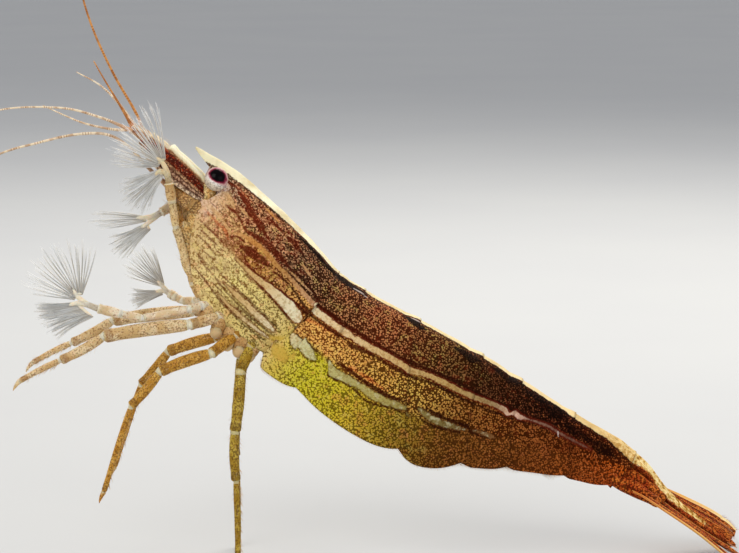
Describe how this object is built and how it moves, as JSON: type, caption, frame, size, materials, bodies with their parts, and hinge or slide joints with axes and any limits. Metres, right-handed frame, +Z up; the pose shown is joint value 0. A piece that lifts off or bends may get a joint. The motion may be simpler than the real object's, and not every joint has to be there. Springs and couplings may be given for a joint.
{
  "type": "bamboo shrimp",
  "caption": "Life-size still model of a bamboo shrimp standing on its hind legs and tail fan, feeding fans spread and feelers raised.",
  "frame": {"origin": "Centre of the animal's bounding box, at floor level", "axes": "+X towards the tail, +Y towards the animal's right side, +Z up"},
  "size_m": [0.0894, 0.0153, 0.0691],
  "materials": {
    "shell": "Glossy translucent shell plates, tan to red-brown with fine dark specks, cream lateral lines and a broad cream stripe along the back.",
    "tail_blade": "Thin horny blades, red-brown to orange with cream edges and mottling.",
    "limb": "Amber-brown translucent limbs with pale joints and dark bands.",
    "underside": "Pale olive-yellow soft underside, moist and slightly translucent.",
    "swimmeret": "Pale amber paddles with fine hairs.",
    "feeler": "Thin ringed feelers, cream to orange-brown.",
    "bristle": "Fine translucent grey-cream feeding bristles in open fans.",
    "eye": "Polished black eyes with a purple-red ring and a pale lower stalk."
  },
  "bodies": {
    "root": {"antenna_base_left": "limb", "antenna_base_right": "limb", "antenna_scale_left": "tail_blade", "antenna_scale_right": "tail_blade", "antenna_whip_left": "feeler", "antenna_whip_right": "feeler", "antennule_base_left": "limb", "antennule_base_right": "limb", "antennule_inner_left": "feeler", "antennule_inner_right": "feeler", "antennule_outer_left": "feeler", "antennule_outer_right": "feeler", "carapace": "shell", "eye_left": "eye", "eye_right": "eye", "fan_1_left_lower": "bristle", "fan_1_left_upper": "bristle", "fan_1_right_lower": "bristle", "fan_1_right_upper": "bristle", "fan_2_left_lower": "bristle", "fan_2_left_upper": "bristle", "fan_2_right_lower": "bristle", "fan_2_right_upper": "bristle", "feeding_arm_1_left": "limb", "feeding_arm_1_right": "limb", "feeding_arm_2_left": "limb", "feeding_arm_2_right": "limb", "leg_3_left": "limb", "leg_3_right": "limb", "leg_4_left": "limb", "leg_4_right": "limb", "leg_5_left": "limb", "leg_5_right": "limb", "mouth_leg_left": "limb", "mouth_leg_right": "limb", "somite_1": "shell", "somite_2": "shell", "somite_3": "shell", "somite_4": "shell", "somite_5": "shell", "somite_6": "shell", "swimmeret_1_left": "swimmeret", "swimmeret_1_right": "swimmeret", "swimmeret_2_left": "swimmeret", "swimmeret_2_right": "swimmeret", "swimmeret_3_left": "swimmeret", "swimmeret_3_right": "swimmeret", "swimmeret_4_left": "swimmeret", "swimmeret_4_right": "swimmeret", "swimmeret_5_left": "swimmeret", "swimmeret_5_right": "swimmeret", "tail_fan_inner_left": "tail_blade", "tail_fan_inner_right": "tail_blade", "tail_fan_outer_left": "tail_blade", "tail_fan_outer_right": "tail_blade", "telson": "tail_blade", "thorax_underside": "underside"}
  },
  "joints": []
}
